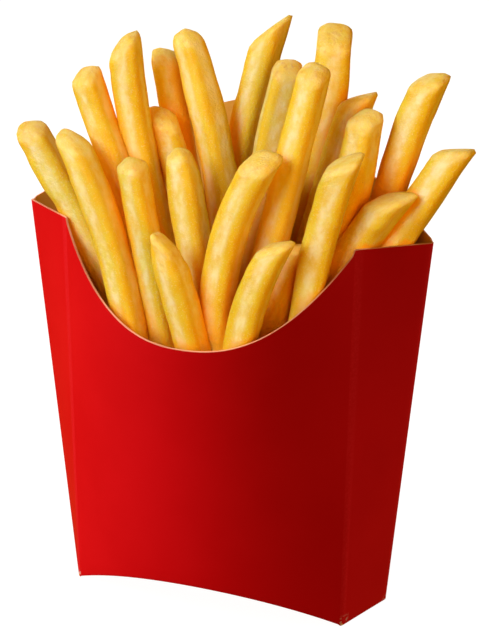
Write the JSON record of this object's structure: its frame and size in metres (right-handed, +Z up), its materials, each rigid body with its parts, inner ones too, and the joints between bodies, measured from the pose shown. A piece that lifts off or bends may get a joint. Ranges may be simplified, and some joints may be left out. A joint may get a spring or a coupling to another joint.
{
  "type": "french fries in a carton",
  "caption": "Long straight-cut french fries standing in a folded red paperboard carton with a scooped bulging front, splayed narrow sides, a taller arched back and an arched base.",
  "frame": {"origin": "on the surface that the carton stands on, under the middle of the whole", "axes": "+Z up, -Y out of the scooped front, +X to the right of someone facing the front"},
  "size_m": [0.1181, 0.0563, 0.1555],
  "materials": {
    "carton_board": "red satin print outside, golden yellow inside, pale core at the cut edge",
    "fried_potato": null
  },
  "bodies": {
    "root": {"carton": "carton_board", "fries": "fried_potato"}
  },
  "joints": []
}
